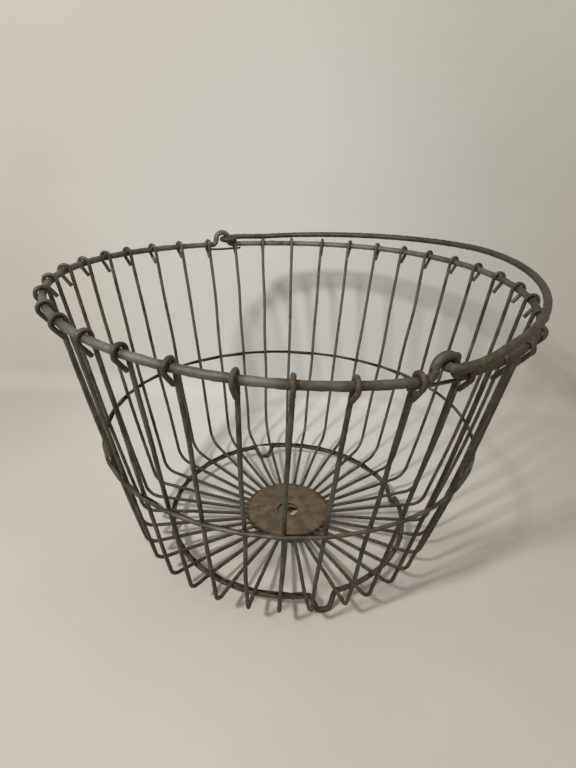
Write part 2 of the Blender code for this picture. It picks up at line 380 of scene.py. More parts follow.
def bend(before, corner, after, radius, steps):
    """The round bend of a wire at a corner between two straight runs.

    The bend's circle touches both runs. Its centre is on the line that halves the corner, at
    radius ÷ sin(half the corner's angle), and it turns through a half turn less the angle.
    """
    corner = np.asarray(corner, float)
    u = np.asarray(before) - corner
    v = np.asarray(after) - corner
    u = u / np.linalg.norm(u)
    v = v / np.linalg.norm(v)
    half = acos(float(u @ v)) / 2
    middle = (u + v) / np.linalg.norm(u + v)
    centre = corner + middle * radius / sin(half)
    first = corner + u * radius / tan(half) - centre
    start = atan2(first[1], first[0])
    turn = pi - 2 * half
    if u[0] * v[1] - u[1] * v[0] > 0:
        turn = -turn
    return arc(centre, radius, start, start + turn, steps)


def joined(*parts):
    """Parts of a path end to end, without the points that repeat where they meet."""
    path = np.concatenate(parts)
    step = np.linalg.norm(np.diff(path, axis=0), axis=1)
    return path[np.concatenate([[True], step > 1e-6])]


def with_straights(path, longest):
    """The same path with even points added on every run longer than the given length."""
    step = np.linalg.norm(np.diff(path, axis=0), axis=1)
    cuts = np.maximum(1, np.ceil(step / longest)).astype(int)
    start = np.repeat(np.arange(len(step)), cuts)
    within = np.arange(cuts.sum()) - np.repeat(np.cumsum(cuts) - cuts, cuts)
    share = (within / np.repeat(cuts, cuts))[:, None]
    points = path[start] * (1 - share) + path[start + 1] * share
    return np.concatenate([points, path[-1:]])


def away_from(angle, place):
    """How far an angle lies round the axis from a place, between minus half a turn and half."""
    return (angle - place + pi) % (2 * pi) - pi


def part_way(x, first, last):
    """The share of the way from first to last at which x stands, held between 0 and 1."""
    return np.clip((x - first) / (last - first), 0, 1)


def smooth(x):
    """Goes gently from 0 at x = 0 to 1 at x = 1: 3x² − 2x³, held level outside."""
    x = np.clip(x, 0.0, 1.0)
    return x * x * (3 - 2 * x)


def rib_profile(p, bend_radius, tail):
    """A rib in its own upright plane, as distances from the axis and heights.

    Tail outside the rim, hook round the rim wire, straight side, round corner, spoke falling
    over the foot ring, level end inside the hub.
    """
    across = 2 * p.w.rib + p.b.seat - p.hook_r
    reach = hypot(across, tail)
    leave = atan2(-tail, across) + acos(p.hook_r / reach)
    hook = joined([(across, -tail)], arc((0, 0), p.hook_r, leave, pi, steps=30))
    c, s = cos(p.lean), sin(p.lean)
    turned = hook @ np.array([[c, -s], [s, c]]) + (p.b.rim_radius, p.b.rim_height)
    corner = (p.b.base_radius, p.corner_z)
    level = (p.level_r, p.hub_z)
    end = (SPOKE_END, p.hub_z)
    corner_bend = bend(turned[-1], corner, level, bend_radius, steps=18)
    level_bend = bend(corner, level, end, LEVEL_BEND, steps=4)
    return with_straights(joined(turned, corner_bend, level_bend, [end]), longest=0.0022)


def round_the_axis(angle, radius, height):
    """Points at (radius × cos angle, radius × sin angle, height)."""
    level = np.zeros_like(angle)
    return np.stack([radius * np.cos(angle), radius * np.sin(angle), level + height], axis=1)


def hoop_path(radius, height, detours, step):
    """A level hoop in which each detour, an angle and a path of (distance along, rise),
    takes the place of the plain hoop. Points are sorted by their angle round the axis."""
    plain = np.arange(round(2 * pi / step)) * step
    keep = np.ones(len(plain), bool)
    angles, rises = [], []
    for at, path in detours:
        keep &= np.abs(away_from(plain, at)) > path[-1, 0] / radius + step / 4
        angles.append((at + path[:, 0] / radius) % (2 * pi))
        rises.append(path[:, 1])
    angle = np.concatenate([plain[keep]] + angles)
    rise = np.concatenate([np.zeros(keep.sum())] + rises)
    order = np.argsort(angle)
    return angle[order], height + rise[order]


def ear_detour(p):
    """An ear: the rim wire flares up, goes over a round top and comes down again."""
    foot = p.ear_half + EAR_FLARE
    rise = arc((-foot, EAR_FLARE), EAR_FLARE, -pi / 2, 0, steps=12)
    top = arc((0, EAR_FLARE + EAR_LEG), p.ear_half, pi, pi / 2, steps=14)
    half = with_straights(joined(rise, top), longest=0.0008)
    return joined(half, half[::-1] * (-1, 1))


def foot_detour(p):
    """A foot: the ring's wire dips to the ground and comes back up."""
    shoulder = (-FOOT_TOP_HALF, 0.0)
    toe = (-FOOT_BOTTOM_HALF, -p.b.foot_drop)
    down = bend((-2 * FOOT_TOP_HALF, 0.0), shoulder, toe, FOOT_BEND, steps=9)
    under = bend(shoulder, toe, (0.0, -p.b.foot_drop), FOOT_BEND, steps=9)
    half = with_straights(joined(down, under), longest=0.0012)
    return with_straights(joined(half, half[::-1] * (-1, 1)), longest=0.0012)


def bail_path(p):
    """The bail flat in its own plane, x away from the hinge line and y along it.

    Each end is a hook through an ear. The bow between them is a rounded arch: x goes as
    cos a and y as sin a, each raised to 2 ÷ the bow's fullness, where 2 is an ellipse.
    """
    half_width = p.b.rim_radius + p.bail_hook_r
    power = 2 / BAIL_FULLNESS
    hook = arc((p.ear_half, p.b.rim_radius), p.bail_hook_r, -pi / 2, -3 * pi / 2, steps=36)
    start = joined([(p.bail_tail, p.b.rim_radius - p.bail_hook_r)], hook)
    a = np.linspace(-pi / 2, pi / 2, 181)
    bow_x = p.bail_tail + (p.b.bail_reach - p.bail_tail) * np.abs(np.cos(a)) ** power
    bow_y = -np.sign(a) * half_width * np.abs(np.sin(a)) ** power
    bow = np.stack([bow_x, bow_y], axis=1)
    return with_straights(joined(start, bow, start[::-1] * (1, -1)), longest=0.0025)


# Surfaces


def waves(u, v, most, seed):
    """Small even unevenness over a grid, about one unit high.

    A sum of sines, each of 2π × a whole number, no more than most, × u + another whole
    number × v + a phase, so it closes on itself where u or v comes round again.
    """
    rng = np.random.default_rng(seed)
    count = (WAVE_COUNT, 1, 1)
    along = rng.integers(max(1, most // 6), most + 1, count)
    round_it = rng.integers(-3, 4, count)
    phase = rng.uniform(0, 2 * pi, count)
    angle = 2 * pi * along * u[None, :, None] + round_it * v[None, None, :] + phase
    return np.sin(angle).sum(axis=0) / (WAVE_COUNT / 2) ** 0.5


def slow_waves(u, most, seed):
    """One row of the same kind of unevenness, for bending a path gently."""
    return waves(u, np.zeros(1), most, seed)[:, 0]


def quads_between(index, closed):
    """Four-cornered faces over a grid of point numbers that closes in its second direction."""
    here = index if closed else index[:-1]
    there = np.roll(index, -1, axis=0) if closed else index[1:]
    corners = [here, np.roll(here, -1, axis=1), np.roll(there, -1, axis=1), there]
    return np.stack(corners, axis=-1).reshape(-1, 4)


def mesh_of(name, points, faces, rust=None):
    """A smooth mesh of points and index arrays, with its rust as an attribute.

    The rust is a share from 0 to 1, and below 0 the metal is paler than elsewhere. On the rim, the
    ribs and the bail it also carries painted shade on the side away from the key light.
    """
    mesh = bpy.data.meshes.new(name)
    mesh.vertices.add(len(points))
    mesh.vertices.foreach_set("co", points.astype(np.float32).ravel())
    corners = np.concatenate([f.ravel() for f in faces])
    sizes = np.concatenate([np.full(len(f), f.shape[1]) for f in faces])
    mesh.loops.add(len(corners))
    mesh.loops.foreach_set("vertex_index", corners.astype(np.int32))
    mesh.polygons.add(len(sizes))
    starts = np.cumsum(sizes) - sizes
    mesh.polygons.foreach_set("loop_start", starts.astype(np.int32))
    mesh.update(calc_edges=True)
    if rust is not None:
        layer = mesh.attributes.new("rust", "FLOAT", "POINT")
        layer.data.foreach_set("value", np.clip(rust, -1, 1).astype(np.float32))
    mesh.validate()
    mesh.shade_smooth()
    return mesh


def points_of(mesh):
    """A mesh's points as one array, a row for each."""
    points = np.empty(3 * len(mesh.vertices), np.float32)
    mesh.vertices.foreach_get("co", points)
    return points.reshape(-1, 3)


def wire_mesh(name, centre, across, radius, rust, sides, seed, closed=False):
    """A round wire carried along a path, with a little pitting.

    Point (i, j) = centre i + r × (across i × cos t + up i × sin t). Here t runs once round
    in j, up is the path's direction × across, and r is the wire's radius times one plus
    small waves. Across may be one direction for the whole path. A cut end closes in two
    rings, with all but the place and the size held as at the end, and in a point.
    """
    if closed:
        run = np.roll(centre, -1, axis=0) - np.roll(centre, 1, axis=0)
        step = np.linalg.norm(np.roll(centre, -1, axis=0) - centre, axis=1)
    else:
        run = np.gradient(centre, axis=0)
        step = np.linalg.norm(np.diff(centre, axis=0, append=centre[-1:]), axis=1)
    run = run / np.linalg.norm(run, axis=1, keepdims=True)
    across = across - run * (across * run).sum(axis=1, keepdims=True)
    across = across / np.linalg.norm(across, axis=1, keepdims=True)
    length = step.sum()
    share = (np.cumsum(step) - step) / length
    size = np.ones(len(centre))
    if not closed:
        out = radius * np.array(END_RINGS_OUT)[:, None]
        before = centre[:1] - run[:1] * out
        after = centre[-1:] + run[-1:] * out[::-1]
        centre = np.concatenate([before, centre, after])
        size = np.concatenate([END_RING_SIZES, size, END_RING_SIZES[::-1]])
        held = np.clip(np.arange(-2, len(run) + 2), 0, len(run) - 1)
        run, across, share, rust = run[held], across[held], share[held], rust[held]
    up = np.cross(run, across)
    t = np.arange(sides) * 2 * pi / sides
    most = int(length / LUMP_LENGTH)
    lumps = bpy.context.scene.basket_wires.lumps * waves(share, t, most, seed)
    r = (radius * size[:, None] * (1 + lumps))[..., None]
    ring = across[:, None] * np.cos(t)[:, None] + up[:, None] * np.sin(t)[:, None]
    points = (centre[:, None] + r * ring).reshape(-1, 3)
    index = np.arange(len(points)).reshape(-1, sides)
    faces = [quads_between(index, closed)]
    rust = np.repeat(rust, sides)
    if not closed:
        past = radius * END_MIDDLE_OUT
        ends = np.array([centre[0] - run[0] * past, centre[-1] + run[-1] * past])
        first, last = index[0], index[-1]
        pole = np.full(sides, len(points))
        faces.append(np.stack([pole, np.roll(first, -1), first], axis=1))
        faces.append(np.stack([pole + 1, last, np.roll(last, -1)], axis=1))
        points = np.concatenate([points, ends])
        rust = np.concatenate([rust, rust[:1], rust[-1:]])
    return mesh_of(name, points, faces, rust)


def hub_plate_mesh(name, p, side, hole):
    """A pressed hub plate, a closed profile turned round the axis.

    Its height over the spokes' middle is level, goes down smoothly to the hole inside the
    dish, and near the edge goes down between the spokes by crimp × (1 + cos(spokes × angle))
    ÷ 2. The other face is the same height plus the sheet's thickness. The lower plate's hole
    is moved aside, and the plate is drawn with it inside its dish. Two crossing waves outside
    the dish are its shallow dents.
    """
    b = p.b
    edge = b.hub_radius - HUB_EDGE_ROUND
    inner_edge = hole + HUB_EDGE_ROUND
    dish = HUB_DISH
    band = HUB_CRIMP_BAND
    level = p.w.rib + b.seat
    dished = np.linspace(inner_edge, dish, 10)
    out = np.concatenate([dished, np.linspace(dish, edge, 25)[1:]])
    back = out[::-1]
    r = np.concatenate([out, [b.hub_radius], back, [hole]])
    through = np.concatenate([np.zeros(len(out)), [0.5], np.ones(len(out)), [0.5]])
    if side < 0:
        r = r[::-1]
        through = through[::-1]
    angle = np.arange(RIB_COUNT * 10) * 2 * pi / (RIB_COUNT * 10)
    between = (1 + np.cos(RIB_COUNT * angle)) / 2
    drawn = np.clip(-side, 0, 1) * (1 - smooth((r - hole) / (HUB_DRAW - hole)))
    x = np.cos(angle)[:, None] * r + HUB_SHIFT[0] + LOWER_HOLE_SHIFT[0] * drawn
    y = np.sin(angle)[:, None] * r + HUB_SHIFT[1] + LOWER_HOLE_SHIFT[1] * drawn
    dents = (np.sin(190 * x + 60 * y + side) + np.sin(-80 * x + 230 * y + 2)) * HUB_DENT
    height = level - (level - b.seat / 2) * (1 - smooth((r - hole) / (dish - hole)))
    height = height[None, :] - b.crimp * between[:, None] * smooth((r - edge + band) / band)
    height = height + dents * smooth((r - dish) / band)
    z = p.hub_z + side * (height + through * b.hub_sheet)
    points = np.stack([x, y, z], axis=-1).reshape(-1, 3)
    index = np.arange(len(points)).reshape(len(angle), len(r))
    rust = 0.1 + 0.8 * smooth((r - edge + HUB_RUST_BAND) / HUB_RUST_BAND)
    return mesh_of(name, points, [quads_between(index, True)], np.tile(rust, len(angle)))


def weld_mesh(name, places, out, along, seed):
    """Small welds, each a squashed ball: place + out × cos a + (along × cos b + their cross
    product × sin b) × sin a, with the three half sizes given by the vectors' lengths."""
    rings, sides = 6, 10
    a = np.linspace(0, pi, rings + 1)[1:-1, None]
    b = np.arange(sides) * 2 * pi / sides
    local = np.stack([np.cos(a) + 0 * b, np.sin(a) * np.cos(b), np.sin(a) * np.sin(b)], axis=-1)
    local = np.concatenate([local.reshape(-1, 3), [(1, 0, 0), (-1, 0, 0)]])
    rng = np.random.default_rng(seed)
    local = local * rng.uniform(*WELD_SHARES, (len(places), 1, 3))
    third = np.cross(out, along)
    third = third / np.linalg.norm(third, axis=1, keepdims=True)
    third = third * np.linalg.norm(along, axis=1, keepdims=True)
    basis = np.stack([out, along, third], axis=1)
    points = places[:, None] + local @ basis
    index = np.arange((rings - 1) * sides).reshape(-1, sides)
    pole = np.full(sides, (rings - 1) * sides)
    fans = [np.stack([pole, index[0], np.roll(index[0], -1)], axis=1),
            np.stack([pole + 1, np.roll(index[-1], -1), index[-1]], axis=1)]
    offset = np.arange(len(places))[:, None, None] * len(local)
    body = quads_between(index, False)[:, ::-1]
    faces = [(body + offset).reshape(-1, 4)] + [(f + offset).reshape(-1, 3) for f in fans]
    rust = np.full(points.shape[0] * points.shape[1], WELD_RUST)
    return mesh_of(name, points.reshape(-1, 3), faces, rust)


# Finishes


def node(tree, kind, **values):
    """A shader node with its settings and its input values in place."""
    made = tree.nodes.new(kind)
    for key, value in values.items():
        if key in made.inputs:
            made.inputs[key].default_value = value
        else:
            setattr(made, key, value)
    return made


def new_finish(name):
    """A new material with its nodes, its shader and its piece's Object coordinates."""
    material = bpy.data.materials.new(name)
    material.use_nodes = True
    tree = material.node_tree
    place = tree.nodes.new("ShaderNodeTexCoord").outputs["Object"]
    return material, tree, tree.nodes["Principled BSDF"], place


def feed(tree, socket, value):
    """Gives an input another node's output, or else a number or a colour of its own."""
    if isinstance(value, bpy.types.NodeSocket):
        tree.links.new(value, socket)
    elif isinstance(value, float):
        socket.default_value = value
    else:
        socket.default_value = (*value, 1.0)


def noise(tree, place, scale, detail, roughness=0.55, distortion=0.0):
    """Fractal noise over the object's own coordinates, scale in bumps per metre."""
    made = node(tree, "ShaderNodeTexNoise", Scale=scale, Detail=detail, Roughness=roughness,
                Distortion=distortion)
    tree.links.new(place, made.inputs["Vector"])
    return made.outputs["Fac"]


def ramp(tree, value, low, high, to_low=0.0, to_high=1.0):
    """Stretches the values between low and high over the range to_low to to_high."""
    made = node(tree, "ShaderNodeMapRange", interpolation_type="SMOOTHSTEP")
    tree.links.new(value, made.inputs["Value"])
    limits = {"From Min": low, "From Max": high, "To Min": to_low, "To Max": to_high}
    for key, limit in limits.items():
        made.inputs[key].default_value = limit
    return made.outputs["Result"]


def blend(tree, share, first, second):
    """Mixes two colours. The node's inputs 6 and 7 and its output 2 are those for colours."""
    made = node(tree, "ShaderNodeMix", data_type="RGBA")
    tree.links.new(share, made.inputs["Factor"])
    feed(tree, made.inputs[6], first)
    feed(tree, made.inputs[7], second)
    return made.outputs[2]


def sums(tree, kind, first, second):
    """One arithmetic step between sockets or numbers."""
    made = node(tree, "ShaderNodeMath", operation=kind)
    feed(tree, made.inputs[0], first)
    feed(tree, made.inputs[1], second)
    return made.outputs[0]


def vectors(tree, kind, first, second=(0.0, 0.0, 0.0)):
    """One step of arithmetic between a place's socket and three numbers."""
    made = node(tree, "ShaderNodeVectorMath", operation=kind)
    tree.links.new(first, made.inputs[0])
    made.inputs[1].default_value = second
    return made


def mix_to_surface(tree, share, first, second, output):
    """Shows a mixture of two shaders on a material's or a world's output node."""
    mix = tree.nodes.new("ShaderNodeMixShader")
    tree.links.new(share, mix.inputs[0])
    tree.links.new(first.outputs[0], mix.inputs[1])
    tree.links.new(second.outputs[0], mix.inputs[2])
    tree.links.new(mix.outputs[0], tree.nodes[output].inputs["Surface"])


def roughen(tree, shader, height, strength, distance):
    """Fine relief on the shader's normal from a height between 0 and 1."""
    bump = node(tree, "ShaderNodeBump", Strength=strength, Distance=distance)
    tree.links.new(height, bump.inputs["Height"])
    tree.links.new(bump.outputs["Normal"], shader.inputs["Normal"])


def worn_metal(name, clean, tarnish, rusty, shine, patch):
    """Old metal: palest where the rust attribute is below 0, in clean and tarnished patches where
    it is low, all tarnish where it is middling, rust where it is high and chance brings it, dark
    pits, and a surface that is rougher and less metallic where it has rusted. Where the attribute
    carries painted shade, that shade is painted in as tarnish and rust."""
    c = bpy.context.scene.basket_colours
    material, tree, shader, place = new_finish(name)
    at = node(tree, "ShaderNodeAttribute", attribute_name="rust").outputs["Fac"]

    patches = ramp(tree, noise(tree, place, patch, 5.0), 0.34, 0.64)
    base = blend(tree, patches, tarnish, clean)
    palest_share = ramp(tree, sums(tree, "MULTIPLY", at, -1.0), 0.0, 0.6)
    base = blend(tree, palest_share, base, [PALEST * channel for channel in clean])
    base = blend(tree, ramp(tree, at, 0.15, 0.55, 0.0, 0.7), base, c.tarnish)
    chance = noise(tree, place, patch * 1.9, 7.0, roughness=0.62, distortion=0.4)
    worn = sums(tree, "MULTIPLY", sums(tree, "MULTIPLY", at, at), 0.45)
    share = sums(tree, "ADD", chance, worn)
    rusted = ramp(tree, share, 0.66 - rusty * 0.30, 0.84 - rusty * 0.26)
    tone = ramp(tree, noise(tree, place, 420.0, 6.0, roughness=0.6), 0.34, 0.66)
    rust_colour = blend(tree, tone, c.dark_rust, c.rust)
    colour = blend(tree, rusted, base, rust_colour)
    specks = ramp(tree, noise(tree, place, 1500.0, 3.0), 0.33, 0.50, 0.45, 0.0)
    colour = blend(tree, specks, colour, c.dark_rust)
    tree.links.new(colour, shader.inputs["Base Color"])

    rough = sums(tree, "ADD", ramp(tree, rusted, 0.0, 1.0, 0.58 - shine, 0.80 - shine * 0.5),
                 sums(tree, "MULTIPLY", tone, 0.10))
    tree.links.new(rough, shader.inputs["Roughness"])
    tree.links.new(ramp(tree, rusted, 0.0, 1.0, 0.45, 0.08), shader.inputs["Metallic"])

    grain = sums(tree, "ADD", noise(tree, place, 2200.0, 4.0),
                 sums(tree, "MULTIPLY", noise(tree, place, 600.0, 4.0), 1.5))
    roughen(tree, shader, grain, strength=0.5, distance=0.00022)
    return material


def stained_plate(name):
    """The hub's sheet metal: a rubbed yellowish brown with soft stains a finger wide, darker
    rust near the edge where the attribute brings it, fine mottling and a few dark pits."""
    c = bpy.context.scene.basket_colours
    material, tree, shader, place = new_finish(name)
    at = node(tree, "ShaderNodeAttribute", attribute_name="rust").outputs["Fac"]

    spread = noise(tree, place, 95.0, 2.5, roughness=0.5, distortion=0.6)
    stains = ramp(tree, spread, 0.40, 0.62)
    colour = blend(tree, stains, c.plate, c.plate_stain)
    mottle = ramp(tree, noise(tree, place, 380.0, 6.0, roughness=0.6), 0.30, 0.70, 0.0, 0.35)
    colour = blend(tree, mottle, colour, c.rust)
    edge = ramp(tree, sums(tree, "ADD", at, noise(tree, place, 240.0, 4.0)), 0.9, 1.4, 0.0, 0.8)
    colour = blend(tree, edge, colour, c.dark_rust)
    pits = ramp(tree, noise(tree, place, 150.0, 1.5), 0.24, 0.31, 0.8, 0.0)
    colour = blend(tree, pits, colour, c.dark_rust)
    tree.links.new(colour, shader.inputs["Base Color"])
    tree.links.new(ramp(tree, stains, 0.0, 1.0, 0.62, 0.78), shader.inputs["Roughness"])
    shader.inputs["Metallic"].default_value = 0.15

    roughen(tree, shader, noise(tree, place, 900.0, 5.0), strength=0.35, distance=0.00020)
    return material


def finish_named(kind):
    """The finish of one kind of piece, made the first time it is asked for."""
    found = bpy.data.materials.get(kind)
    if found is not None:
        return found
    c = bpy.context.scene.basket_colours
    if kind == "rib_wire_finish":
        return worn_metal(kind, c.zinc, c.tarnish, rusty=0.12, shine=0.14, patch=70.0)
    if kind == "rim_wire_finish":
        return worn_metal(kind, c.rim_zinc, c.rim_tarnish, rusty=0.22, shine=0.04, patch=38.0)
    if kind == "foot_ring_finish":
        return worn_metal(kind, c.rim_zinc, c.rim_tarnish, rusty=0.80, shine=0.02, patch=70.0)
    if kind == "bail_finish":
        return worn_metal(kind, c.bail, c.tarnish, rusty=0.20, shine=0.16, patch=45.0)
    if kind == "hub_plate_finish":
        return stained_plate(kind)
    raise RuntimeError(f"no finish is called {kind}")


# Placing


def add_object(data):
    """Adds an object of the same name as its mesh, lamp or camera to the scene."""
    thing = bpy.data.objects.new(data.name, data)
    bpy.context.scene.collection.objects.link(thing)
    return thing


def put(mesh, finish, body, slot, *stands_for):
    """Adds a piece that rides on a body and stands for the given nodes of the frame."""
    mesh.materials.append(finish_named(finish))
    thing = add_object(mesh)
    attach(thing, body)
    if stands_for:
        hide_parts(*stands_for)
        check_place(thing, stands_for)


def check_place(thing, nodes):
    """Raises an error if a piece has left the place of the nodes it stands for."""
    boxes = np.array([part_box(name) for name in nodes])
    low = boxes[:, 0].min(axis=0) - PLACE_SLACK
    high = boxes[:, 1].max(axis=0) + PLACE_SLACK
    points = points_of(thing.data)
    if (points < low).any() or (points > high).any():
        raise RuntimeError(f"{thing.name} lies outside its node's place")


def near(angle, places, width):
    """A share that is 1 at each of the given angles and fades over the given width."""
    away = away_from(angle[:, None], np.asarray(places))
    return np.exp(-(away / width) ** 2).max(axis=1)


def rib_angles():
    """The even angle of each rib round the axis."""
    return (np.arange(RIB_COUNT) + 0.5) * BAY


def rib_shift(p, i, r, z):
    """How far rib i stands off its even place: its corner's shift, going over to its hook's
    up the side, and fading to nothing along the spoke."""
    corner = CORNER_SHIFTS[i]
    shift = corner + (HOOK_SHIFTS[i] - corner) * part_way(z, p.corner_z, p.b.rim_height)
    return shift * part_way(r, SPOKE_END, p.b.base_radius)


def rim_angles(p):
    """The angle of each hook round the rim, with its shift."""
    return rib_angles() + HOOK_SHIFTS / p.b.rim_radius


def rim_rise(angle):
    """How far the bent rim stands above its even height: bend × (1 + cos 2a) ÷ 2, plus the
    tip along X × cos a and the tip along Y × sin a."""
    bent = RIM_BEND * (1 + np.cos(2 * angle)) / 2
    return bent + RIM_TIP_X * np.cos(angle) + RIM_TIP_Y * np.sin(angle)


def hub_pull(p, r):
    """How far the hub's shift pulls a spoke aside: all of it at the hub's edge, none of it at
    the foot ring, and evenly less between."""
    return part_way(r, p.b.ring_radius, p.level_r)[:, None] * np.array(HUB_SHIFT)


def foot_splay(p, angle, height):
    """How far the ring's wire leans outwards in a foot: the foot's own splay × the share of
    the foot's drop that the wire has gone down there."""
    away = away_from(angle[:, None], np.array(FOOT_ANGLES))
    splay = np.array(FOOT_SPLAYS)[np.abs(away).argmin(axis=1)]
    return splay * (p.ring_z - height) / p.b.foot_drop


def widening(angle):
    """How far the sides stand out half way up: wider × (1 + cos 2a) ÷ 2 + wider end × cos a,
    with a counted from the line along which they are widest."""
    a = angle - WIDE_ANGLE
    return WIDER * (1 + np.cos(2 * a)) / 2 + WIDER_END * np.cos(a)


def rib_rust_and_shade(p, turn, r, z):
    """A rib's rust along its length: some everywhere, more at the middle hoop and at its hook, most
    at the rusty hooks, more near the ground and near the hub, painted shade with some rust on the
    side away from the key light, and less on the paler side."""
    middle = np.exp(-((z - p.b.middle_height) / MIDDLE_RUST_SPREAD) ** 2)
    hook = np.exp(-((z - p.b.rim_height) / HOOK_RUST_SPREAD) ** 2)
    rusty_hook = hook * np.exp(-((turn - RUSTY_HOOKS_ANGLE) / RUSTY_HOOKS_WIDTH) ** 2)
    low = smooth((LOW_RUST[0] - z) / LOW_RUST[1])
    inner = smooth((INNER_RUST[0] - r) / INNER_RUST[1])
    # Painted shade on the side away from the key light, with some rust there
    dark = near(np.array([turn]), [SHADE_AND_RUST_ANGLE], SHADE_AND_RUST_WIDTH)
    clean = near(np.array([turn]), [PALER_WIRES_ANGLE], PALER_WIRES_WIDTH)
    return (0.20 + 0.45 * middle + 0.20 * hook + 0.55 * rusty_hook
            + 0.50 * low + 0.45 * inner + 0.35 * dark - 0.8 * clean)


def hoop_mesh(name, angle, radius, height, wire, rust, sides, seed, shift=(0.0, 0.0)):
    """A closed wire hoop through the given angles, radii and heights round the axis."""
    centre = round_the_axis(angle, radius, height) + (*shift, 0.0)
    outward = round_the_axis(angle, 1.0, 0.0)
    return wire_mesh(name, centre, outward, wire, rust, sides, seed, closed=True)


class BASKET_OT_rim_hoop(bpy.types.Operator):
    """Makes the rim hoop with its two ears"""
    bl_idname = "basket.rim_hoop"
    bl_label = "Rim Hoop"

    def execute(self, context):
        p = plan()
        detours = [(at, ear_detour(p)) for at in EAR_ANGLES]
        angle, height = hoop_path(p.b.rim_radius, p.b.rim_height, detours, step=radians(0.6))
        # Besides rust, the rim's share paints shade on the side away from the key light and under
        # the bail
        rust = (0.12 + 0.5 * near(angle, rim_angles(p), HOOP_RUST_SPREAD)
                + 0.5 * near(angle, [SHADE_AND_RUST_ANGLE], RIM_SHADE_AND_RUST_WIDTH)
                + 0.2 * near(angle, [RIM_DULL_ANGLE], DULL_WIDTH)
                - 0.7 * near(angle, [PALER_WIRES_ANGLE], PALER_WIRES_WIDTH))
        mesh = hoop_mesh("rim_hoop_wire", angle, p.b.rim_radius, height + rim_rise(angle),
                         p.w.rim, rust, sides=20, seed=3)
        put(mesh, "rim_wire_finish", "basket", "rusty_zinc_wire", "rim_hoop")
        return {"FINISHED"}


class BASKET_OT_ribs(bpy.types.Operator):
    """Makes the ribs, each one wire from its tail on the rim to the hub"""
    bl_idname = "basket.ribs"
    bl_label = "Ribs"

    def execute(self, context):
        p = plan()
        rng = np.random.default_rng(seed=36)
        for i, turn in enumerate(rib_angles()):
            tail = RIB_TAIL * rng.uniform(*TAIL_SHARES)
            bend_radius = (RIB_BEND - RIB_BEND_CHANGE * cos(turn - TIGHTEST_BEND_ANGLE)
                           + rng.uniform(-RIB_BEND_CHANCE, RIB_BEND_CHANCE))
            path = rib_profile(p, bend_radius, tail)
            r, z = path[:, 0], path[:, 1]
            upper = part_way(z, p.b.middle_height, p.b.rim_height)
            rise = rim_rise(turn + HOOK_SHIFTS[i] / p.b.rim_radius) * upper
            lower = part_way(z, p.corner_z, p.b.middle_height)
            whole = part_way(z, p.corner_z, p.b.rim_height)
            half_way = part_way(p.b.middle_height, p.corner_z, p.b.rim_height)
            bulge = np.sin(pi * whole) / sin(pi * half_way)
            r = r + rng.normal(0, UPPER_BOW) * np.sin(pi * upper)
            r = r + rng.normal(0, LOWER_BOW) * np.sin(pi * lower)
            r = r + widening(turn) * bulge
            sway = RIB_SWAY * slow_waves(np.linspace(0, 1, len(r)), most=6, seed=200 + i)
            shift = rib_shift(p, i, r, z) + sway
            outward = np.array([cos(turn), sin(turn), 0.0])
            sideways = np.array([-sin(turn), cos(turn), 0.0])
            centre = r[:, None] * outward + shift[:, None] * sideways
            centre[:, 2] = z + rise
            centre[:, :2] += hub_pull(p, r)
            name = RIB_NAMES[i]
            mesh = wire_mesh(name + "_wire", centre, sideways, p.w.rib, rib_rust_and_shade(p, turn, r, z),
                             sides=12, seed=40 + i)
            put(mesh, "rib_wire_finish", "basket", "dull_zinc_wire", name)
        return {"FINISHED"}


class BASKET_OT_middle_hoop(bpy.types.Operator):
    """Makes the thin hoop half way up the ribs"""
    bl_idname = "basket.middle_hoop"
    bl_label = "Middle Hoop"

    def execute(self, context):
        p = plan()
        angle, height = hoop_path(p.middle_r, p.b.middle_height, [], step=radians(0.6667))
        sway = HOOP_SWAY * slow_waves(angle / (2 * pi), most=5, seed=81)
        between = (1 + np.cos(RIB_COUNT * angle)) / 2
        radius = p.middle_r + widening(angle) - HOOP_TUCK * between
        rust = (0.05 + 0.55 * near(angle, rib_angles(), HOOP_RUST_SPREAD)
                - 0.5 * near(angle, [PALER_WIRES_ANGLE], PALER_WIRES_WIDTH))
        mesh = hoop_mesh("middle_hoop_wire", angle, radius, height + sway, p.w.middle, rust,
                         sides=12, seed=5)
        put(mesh, "rib_wire_finish", "basket", "dull_zinc_wire", "mid_hoop")
        return {"FINISHED"}


class BASKET_OT_foot_ring(bpy.types.Operator):
    """Makes the foot ring with its four feet, worn flat underneath"""
    bl_idname = "basket.foot_ring"
    bl_label = "Foot Ring"

    def execute(self, context):
        p = plan()
        detours = [(at, foot_detour(p)) for at in FOOT_ANGLES]
        angle, height = hoop_path(p.b.ring_radius, p.ring_z, detours, step=radians(0.9))
        radius = p.b.ring_radius + foot_splay(p, angle, height)
        rust = 0.3 + 0.4 * near(angle, rib_angles(), RING_RUST_SPREAD)
        mesh = hoop_mesh("foot_ring_wire", angle, radius, height, p.w.ring, rust,
                         sides=16, seed=7, shift=RING_SHIFT)
        points = points_of(mesh)
        points[:, 2] = np.maximum(points[:, 2], 0.0)
        mesh.vertices.foreach_set("co", points.ravel())
        mesh.update()
        put(mesh, "foot_ring_finish", "basket", "rusted_wire", "foot_ring")
        return {"FINISHED"}


class BASKET_OT_hub(bpy.types.Operator):
    """Makes the hub's two pressed plates"""
    bl_idname = "basket.hub"
    bl_label = "Hub Plates"

    def execute(self, context):
        p = plan()
        upper = hub_plate_mesh("hub_upper_plate", p, 1, p.b.hub_hole)
        put(upper, "hub_plate_finish", "basket", "rusted_sheet", "hub_plate_upper")
        lower = hub_plate_mesh("hub_lower_plate", p, -1, p.b.hub_lower_hole)
        put(lower, "hub_plate_finish", "basket", "rusted_sheet", "hub_plate_lower")
        return {"FINISHED"}


